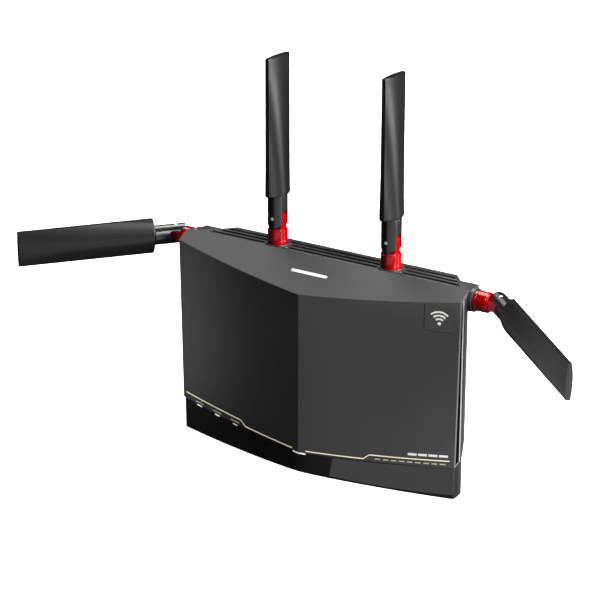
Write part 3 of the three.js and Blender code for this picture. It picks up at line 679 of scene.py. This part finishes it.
# ---------------------------------------------------------------- trim and marks on the cover
PROUD = 0.14 * MM
SUNK = 0.04 * MM
TRIM_HIGH, TRIM_LOW = 6.6 * MM, 2.3 * MM  # above the panel's lower edge
TRIM_ENDS = (145.5 * MM, 7.5 * MM)
TRIM_HALF = 0.48 * MM
TRIM_STEPS = (("left", -1, 72 * MM, 66 * MM), ("right", 1, 70.5 * MM, 64.5 * MM))
LAMP_MARK_ENDS = (-6.5 * MM, 4.5 * MM)  # from the lamp's middle
LAMP_MARK_RISE = 2.7 * MM
SMALL_HALF, LARGE_HALF = 0.5 * MM, 1.1 * MM


def on_panel(x, z, lift):
    return Vector((x * lean(z), front_y(x) - lift, z))


def on_roof(x, y, lift):
    return Vector((x, y, roof_z(y) + lift))


def dress_mark(mark, material):
    shade(mark, 40)
    mark.data.materials.append(material)
    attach(mark, "base")


def panel_strip(name, positions, middle, half, material):
    """A thin strip along the panel; middle(x) is its height above the panel's lower edge."""
    ease, shoulder = 0.4 * half, PROUD * 0.6
    rings = []
    for x in positions:
        centre = cut_z(front_y(x)) + middle(x)
        low, high = centre - half, centre + half
        rings.append([
            on_panel(x, low, -SUNK), on_panel(x, low, shoulder), on_panel(x, low + ease, PROUD),
            on_panel(x, high - ease, PROUD), on_panel(x, high, shoulder), on_panel(x, high, -SUNK),
        ])
    dress_mark(loft(name, rings), material)


def evenly(left, right, steps):
    return [left + (right - left) * i / steps for i in range(steps + 1)]


def build_trim():
    """A pale metal line above the lower edge, that steps down towards the ridge."""
    far, near = TRIM_ENDS
    for side, sign, outer, inner in TRIM_STEPS:
        def rise(x):
            t = min(max((abs(x) - inner) / (outer - inner), 0), 1)
            return TRIM_LOW + (TRIM_HIGH - TRIM_LOW) * t

        positions = evenly(sign * far, sign * outer, 30)
        positions += evenly(sign * outer, sign * inner, 6)[1:]
        positions += evenly(sign * inner, sign * near, 30)[1:]
        panel_strip(f"trim_{side}", positions, rise, TRIM_HALF, GOLD_TRIM)


def build_dash(name, left, right, rise, half, material):
    """A short straight strip at one height above the panel's lower edge."""
    panel_strip(name, evenly(left, right, 4), lambda _x: rise, half, material)


def build_dashes():
    """Plain dashes where the object carries printed words and lamp symbols."""
    left, right = LAMP_MARK_ENDS
    for i, x in enumerate(STATUS_X, 1):
        build_dash(f"lamp_mark_{i}", x + left, x + right, LAMP_MARK_RISE, SMALL_HALF, PRINT_GREY)
    rows = (
        ("upper_dash", 4, 107 * MM, 8.2 * MM, 9.6 * MM, 11 * MM, LARGE_HALF, SILVER_PRINT),
        ("lower_dash", 9, 76 * MM, 5.2 * MM, 7.6 * MM, 3.2 * MM, SMALL_HALF, PRINT_GREY),
    )
    for name, count, start, length, pitch, rise, half, material in rows:
        for i in range(count):
            left = start + i * pitch
            build_dash(f"{name}_{i + 1}", left, left + length, rise, half, material)


def ribbon(name, inner, outer, surface, proud, material):
    """A raised flat mark between two matching rows of (u, v) points on a surface."""
    rings = [
        [surface(*a, -SUNK), surface(*a, proud), surface(*b, proud), surface(*b, -SUNK)]
        for a, b in zip(inner, outer)
    ]
    dress_mark(loft(name, rings), material)


def raise_outline(name, ring, surface, proud):
    """A raised flat mark inside a closed row of (u, v) points on a surface."""
    return loft(name, [[surface(*p, -SUNK) for p in ring], [surface(*p, proud) for p in ring]])


def disc(name, centre, radius, surface, proud, material):
    steps = 28
    angles = [2 * math.pi * i / steps for i in range(steps)]
    ring = [(centre[0] + radius * math.cos(a), centre[1] + radius * math.sin(a)) for a in angles]
    dress_mark(raise_outline(name, ring, surface, proud), material)


def build_badge():
    """A dark square badge with plain radio arcs, on the right half of the panel."""
    left, right, low, high = 118.5 * MM, 145 * MM, 158 * MM, 181.5 * MM
    plate_proud, sign_proud = 0.25 * MM, 0.36 * MM
    dot_rise, dot_radius = 7.2 * MM, 1.5 * MM
    arc_radii, arc_half, arc_reach = (4.4, 7.6, 10.8), 0.75, 44
    across = evenly(left, right, 12)
    lower, upper = [(x, low) for x in across], [(x, high) for x in across]
    ribbon("badge_plate", lower, upper, on_panel, plate_proud, BADGE_BLACK)
    centre = ((left + right) / 2, low + dot_rise)
    disc("badge_dot", centre, dot_radius, on_panel, sign_proud, SILVER_PRINT)
    angles = [math.radians(a) for a in evenly(-arc_reach, arc_reach, 16)]
    for i, radius in enumerate(arc_radii, 1):
        inner, outer = [
            [(centre[0] + r * MM * math.sin(a), centre[1] + r * MM * math.cos(a)) for a in angles]
            for r in (radius - arc_half, radius + arc_half)
        ]
        ribbon(f"badge_arc_{i}", inner, outer, on_panel, sign_proud, SILVER_PRINT)


def build_roof_mark():
    """A plain silver bar with round ends on the sloping roof."""
    half, thick = 19 * MM, 1.3 * MM
    x0, y0 = -3 * MM, -15.7 * MM
    steps = 12
    ring = []
    for sign in (1, -1):
        for i in range(steps + 1):
            a = math.pi * i / steps - math.pi / 2
            reach = half - thick + thick * math.cos(a)
            ring.append((x0 + sign * reach, y0 + sign * thick * math.sin(a)))
    dress_mark(raise_outline("roof_mark", ring, on_roof, PROUD), SILVER_PRINT)


# ---------------------------------------------------------------- small things at the back
PORT_Z = 40 * MM
JACK_FACE_Y = 26 * MM
BAY_FLOOR_Y = 25.5 * MM
JACK_X = [x * MM for x in (-30, -9.25, 6.25, 21.75, 37.25)]
JACK_MARK = 5.0
# The other ports and controls: the middle and length of each one's dash, in millimetres
CONTROL_MARKS = ((-55, 6), (-78, 4), (-98, 5), (60, 4), (78, 4), (93, 2.4), (104, 4))
MARK_RISE = 11 * MM
LABEL_LINES = (0.62, 0.86, 0.74, 0.5)  # parts of the label's width
LABEL_PITCH = 3.6
LABEL_MARGIN = 3 * MM
CONTACT_COUNT = 8
CONTACT_PITCH = 1.02
CONTACT_RISE = 4.8 * MM
CONTACT_DEPTH = 6 * MM
CONTACT_SIZE = (0.45 * MM, 9 * MM, 0.5 * MM)


def join(name, parts):
    """Several separate bodies as one object."""
    bm = bmesh.new()
    for part in parts:
        bm.from_mesh(part.data)
        bpy.data.objects.remove(part)
    mesh = bpy.data.meshes.new(name)
    bm.to_mesh(mesh)
    bm.free()
    return add_object(name, mesh)


def bar_at(centre, size):
    low = [c - s / 2 for c, s in zip(centre, size)]
    high = [c + s / 2 for c, s in zip(centre, size)]
    return block("bar", low, high)


def build_contacts():
    """Eight sprung contacts under the top of each network socket."""
    middle = (CONTACT_COUNT - 1) / 2
    y, z = JACK_FACE_Y - CONTACT_DEPTH, PORT_Z + CONTACT_RISE
    for i, x in enumerate(JACK_X):
        wires = [
            bar_at((x + (k - middle) * CONTACT_PITCH * MM, y, z), CONTACT_SIZE)
            for k in range(CONTACT_COUNT)
        ]
        contacts = soften(join(f"contacts_{i}", wires), 0.1 * MM, segments=2)
        dress_mark(contacts, GOLD_CONTACT)


def build_back_marks():
    """Plain dashes over the ports and controls, and plain lines on the rating label."""
    edge = 0.04 * MM
    y, z = BAY_FLOOR_Y + 0.03 * MM, PORT_Z + MARK_RISE
    marks = [(x, JACK_MARK) for x in JACK_X] + [(x * MM, length) for x, length in CONTROL_MARKS]
    for i, (x, length) in enumerate(marks):
        dash = bar_at((x, y, z), (length * MM, 0.14 * MM, 0.9 * MM))
        dress_mark(soften(dash, edge, segments=2), SILVER_PRINT)
        dash.name = f"port_mark_{i}"
    low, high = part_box("rating_label")
    for i, part in enumerate(LABEL_LINES):
        width = (high.x - low.x) * part
        x, y = low.x + LABEL_MARGIN + width / 2, high.y + 0.02 * MM
        z = high.z - LABEL_PITCH * (i + 1) * MM
        line = bar_at((x, y, z), (width - LABEL_MARGIN, 0.12 * MM, 1.1 * MM))
        dress_mark(soften(line, edge, segments=2), BADGE_BLACK)
        line.name = f"label_line_{i}"


# ---------------------------------------------------------------- antennas
BARREL_R = 9.25 * MM
BARREL_TOP = 14.5 * MM
STEP_R = 8.3 * MM
STEP_TOP = 16 * MM
STUB_R = 6 * MM
STUB_DOWN = -10 * MM
GROOVE_EDGES = (4.6 * MM, 4.8 * MM, 5.1 * MM, 5.3 * MM)
GROOVE_DEPTH = 0.25 * MM
COLLAR_LOW = 0.8 * MM
PIN_HEIGHT = 26 * MM
PIN_R = 1.9 * MM
PIN_HALF = BARREL_R - 0.35 * MM
TONGUE_R = 6.5 * MM
TONGUE_HALF = 4.7 * MM
SLOT_HALF = 5 * MM
SLOT_END = 7.2 * MM
FORK_END = 21.5 * MM
NECK_END = FORK_END + 8.5 * MM
PADDLE_START = 21.8 * MM
PADDLE_END = 150.5 * MM
PADDLE_HALF_WIDTH = 16.6 * MM
PADDLE_MIDDLE = (9.6 * MM, 3.3 * MM)
PADDLE_RIM = (2.2 * MM, 1.85 * MM)
REST_TWIST = {"side_right": math.radians(-4.6)}
# Where a paddle's face has its points, in parts of its half width
ACROSS_HALF = (0.19, 0.38, 0.56, 0.72, 0.84, 0.92, 0.97)


def joint_frame(along_joint, pin_joint, at_joint):
    """Local Z follows one joint's axis, local Y the hinge pin, and a joint gives the origin."""
    along = Vector(along_joint["axis"]).normalized()
    pin = Vector(pin_joint["axis"]).normalized()
    if pin.dot(Vector((0, 1, 1))) < 0:
        pin.negate()
    turn = Matrix((pin.cross(along), pin, along)).transposed().to_4x4()
    return Matrix.Translation(Vector(at_joint["pos_m"])) @ turn


def knuckle_frame(site):
    """Local Z leaves the socket, and the origin is on the socket's face."""
    swivel, fold = JOINTS[f"swivel_{site}"], JOINTS[f"fold_{site}"]
    return joint_frame(swivel, fold, swivel)


def arm_frame(site):
    """Local Z runs up the arm, and the origin is on the pin."""
    fold, twist = JOINTS[f"fold_{site}"], JOINTS[f"twist_{site}"]
    return joint_frame(twist, fold, fold)


def build_socket(site):
    """A ring round the barrel's foot, with a sleeve round its stub."""
    rim_outer, rim_inner, sleeve_outer, sleeve_inner = 10.8 * MM, 9.6 * MM, 7.2 * MM, 6.3 * MM
    top, face, under, bottom = 1.6 * MM, 0.5 * MM, -1.5 * MM, -6.5 * MM
    ring = spin_ring(f"socket_ring_{site}", rounded([
        (rim_inner, face),
        (rim_inner, top),
        (rim_outer, top),
        (rim_outer, under),
        (sleeve_outer, under),
        (sleeve_outer, bottom),
        (sleeve_inner, bottom),
        (sleeve_inner, face),
    ], 0.25 * MM, steps=3, closed=True))
    shade(ring)
    place(ring, knuckle_frame(site), "base", REAR_BLACK, [f"antenna_socket_{site}"])


def build_knuckle(site):
    """A grooved round barrel on a stub, with a flat tongue that the hinge pin goes through."""
    groove_low, groove_in, groove_out, groove_high = GROOVE_EDGES
    profile = rounded([
        (0, STUB_DOWN),
        (STUB_R, STUB_DOWN),
        (STUB_R, COLLAR_LOW),
        (BARREL_R, COLLAR_LOW),
        (BARREL_R, groove_low),
        (BARREL_R - GROOVE_DEPTH, groove_in),
        (BARREL_R - GROOVE_DEPTH, groove_out),
        (BARREL_R, groove_high),
        (BARREL_R, BARREL_TOP),
        (STEP_R, BARREL_TOP),
        (STEP_R, STEP_TOP),
        (0, STEP_TOP),
    ], 0.3 * MM, steps=3)
    barrel = spin(f"red_knuckle_{site}", profile, 72)
    root = STEP_TOP - 0.6 * MM
    neck = block("neck", (-TONGUE_R, -TONGUE_HALF, root), (TONGUE_R, TONGUE_HALF, PIN_HEIGHT))
    head = rod("head", TONGUE_R, -TONGUE_HALF, TONGUE_HALF, "y", 64)
    hole = rod("hole", PIN_R + 0.3 * MM, -CUTTER_REACH, CUTTER_REACH, "y", 32)
    for part in (head, hole):
        part.data.transform(Matrix.Translation((0, 0, PIN_HEIGHT)))
    carve(barrel, [neck, head], "UNION")
    carve(barrel, [hole])
    soften(barrel, 0.35 * MM, angle=45, segments=2)
    shade(barrel, 40)
    body = f"swivel_{site}"
    place(barrel, knuckle_frame(site), body, RED_GLOSS, [f"knuckle_{site}"])


def build_fork(site):
    """Two ears with round ends, a collar and the neck the paddle turns on; and the hinge pin."""
    column = spin(f"fork_body_{site}", rounded([
        (0, -BARREL_R),
        (BARREL_R, -BARREL_R),
        (BARREL_R, FORK_END),
        (STUB_R, FORK_END),
        (STUB_R, NECK_END),
        (0, NECK_END),
    ], 0.3 * MM, steps=3), 72)
    far = CUTTER_REACH
    ears = rod("ears", BARREL_R - 0.02 * MM, -far, far, "y", 96)
    above = block("above", (-far, -far, 0), (far, far, 2 * far))
    carve(ears, [above], "UNION")
    carve(column, [ears], "INTERSECT")
    slot = block("slot", (-far, -SLOT_HALF, -far), (far, SLOT_HALF, SLOT_END))
    hole = rod("hole", PIN_R + 0.15 * MM, -far, far, "y", 32)
    carve(column, [slot, hole])
    soften(column, 0.3 * MM, angle=45, segments=2)
    shade(column, 40)
    place(column, arm_frame(site), f"arm_{site}", FORK_BLACK, [f"fork_{site}"])

    pin = spin(f"pin_{site}", rounded([
        (0, -PIN_HALF), (PIN_R, -PIN_HALF), (PIN_R, PIN_HALF), (0, PIN_HALF),
    ], 0.5 * MM, steps=4), 40)
    pin.data.transform(LAID_ON_Y)
    shade(pin)
    place(pin, arm_frame(site), f"arm_{site}", PIN_STEEL, [f"hinge_pin_{site}"])


def paddle_ring(height, t, shrink=0.0):
    """One lens section of a paddle, t from root to tip, with a parting groove down each rim."""
    middle = PADDLE_MIDDLE[0] + (PADDLE_MIDDLE[1] - PADDLE_MIDDLE[0]) * t - shrink
    rim = max(PADDLE_RIM[0] + (PADDLE_RIM[1] - PADDLE_RIM[0]) * t - shrink, 0.5 * MM)
    width = PADDLE_HALF_WIDTH - shrink
    turn, lip = 0.12 * MM, 0.02 * MM
    groove, groove_depth = 0.22 * MM, 0.3 * MM
    across = [-f for f in reversed(ACROSS_HALF)] + [0, *ACROSS_HALF]
    lens = [(rim + (middle - rim) * (1 - f * f), f * width) for f in across]
    rim_up = [
        (rim, width - lip), (rim - turn, width), (groove, width), (0, width - groove_depth),
        (-groove, width), (turn - rim, width), (-rim, width - lip),
    ]
    rim_down = [(-x, -y) for x, y in rim_up]
    points = lens + rim_up + [(-x, -y) for x, y in lens] + rim_down
    return [Vector((x, y, height)) for x, y in points]


def build_paddle(site):
    """A flat tapering blade with rounded ends, bored for the fork's neck."""
    root_edge, tip_edge, ends, steps = 1.2 * MM, 0.8 * MM, 6, 24
    quarter = [math.pi / 2 * i / ends for i in range(ends + 1)]
    skin = []
    for a in quarter:
        height = PADDLE_START + root_edge * (1 - math.cos(a))
        skin.append(paddle_ring(height, 0, root_edge * (1 - math.sin(a))))
    low, high = PADDLE_START + root_edge, PADDLE_END - tip_edge
    for i in range(1, steps + 1):
        height = low + (high - low) * i / steps
        skin.append(paddle_ring(height, (height - PADDLE_START) / (PADDLE_END - PADDLE_START)))
    for a in quarter[1:]:
        height = high + tip_edge * math.sin(a)
        skin.append(paddle_ring(height, 1, tip_edge * (1 - math.cos(a))))
    blade = loft(f"blade_{site}", skin)
    bore = rod("bore", STUB_R + 0.3 * MM, PADDLE_START - 5 * MM, NECK_END + 1 * MM)
    carve(blade, [bore])
    shade(blade, 40)
    turned = arm_frame(site) @ Matrix.Rotation(REST_TWIST.get(site, 0), 4, "Z")
    place(blade, turned, f"blade_{site}", PADDLE_BLACK, [f"paddle_{site}"])


# ---------------------------------------------------------------- carried-over CAD nodes
EDGE_ANGLE = math.radians(28)


def dress(node, material, width):
    """A CAD node that stays: welded and edge-rounded by modifiers, with a finished material.

    The width of the rounding is in millimetres, and 0 leaves the edges sharp.
    """
    obj = frame["nodes"][node]
    obj.data.materials.clear()
    obj.data.materials.append(material)
    obj.data.polygons.foreach_set("use_smooth", [True] * len(obj.data.polygons))
    weld = obj.modifiers.new("weld", "WELD")
    weld.merge_threshold = WELD_GAP
    if width:
        round_off = obj.modifiers.new("round", "BEVEL")
        round_off.width = width * MM
        round_off.segments = 2
        round_off.limit_method = "ANGLE"
        round_off.angle_limit = EDGE_ANGLE
        round_off.harden_normals = True


def dress_cad_nodes():
    """Every node that no finer piece replaces, with the width of its edges' rounding."""
    finishes = {
        "rear_cover": (REAR_BLACK, 0.3),
        # the mid frame carries a painted highlight on its sideways faces
        "mid_frame": (CHASSIS_FLANK_HIGHLIGHT, 0.2),
        "base_plate": (REAR_BLACK, 0.2),
        "light_bar": (LAMP_WHITE, 0.1),
        "status_light_guide": (LAMP_WHITE, 0.1),
        "main_board": (BOARD_GREEN, 0),
        "heat_sink": (SHELL_STEEL, 0.2),
        "shield_can": (SHELL_STEEL, 0.2),
        "wan_jack": (JACK_BLUE, 0.2),
        "lan_jack_block": (JACK_BLACK, 0.2),
        "usb_port": (SHELL_STEEL, 0.15),
        "dc_jack": (JACK_BLACK, 0.15),
        "power_button": (CONTROL_GREY, 0.5),
        "setup_button": (CONTROL_GREY, 0.4),
        "reset_button": (RED_GLOSS, 0.2),
        "slide_switch_1": (CONTROL_GREY, 0.2),
        "slide_switch_2": (CONTROL_GREY, 0.2),
        "rating_label": (LABEL_GREY, 0.05),
    }
    for node, (material, width) in finishes.items():
        dress(node, material, width)
    for i in range(1, 5):
        dress(f"cover_screw_{i}", SCREW_STEEL, 0.15)
        dress(f"rubber_foot_{i}", RUBBER, 0.3)
    for site in SITES:
        dress(f"antenna_board_{site}", BOARD_GREEN, 0)
        dress(f"coax_lead_{site}", JACK_BLACK, 0)


# ---------------------------------------------------------------- build
build_camera()
build_studio()
build_front_cover()
build_lower_bezel()
build_trim()
build_dashes()
build_badge()
build_roof_mark()
build_contacts()
build_back_marks()
for antenna in SITES:
    build_socket(antenna)
    build_knuckle(antenna)
    build_fork(antenna)
    build_paddle(antenna)
dress_cad_nodes()
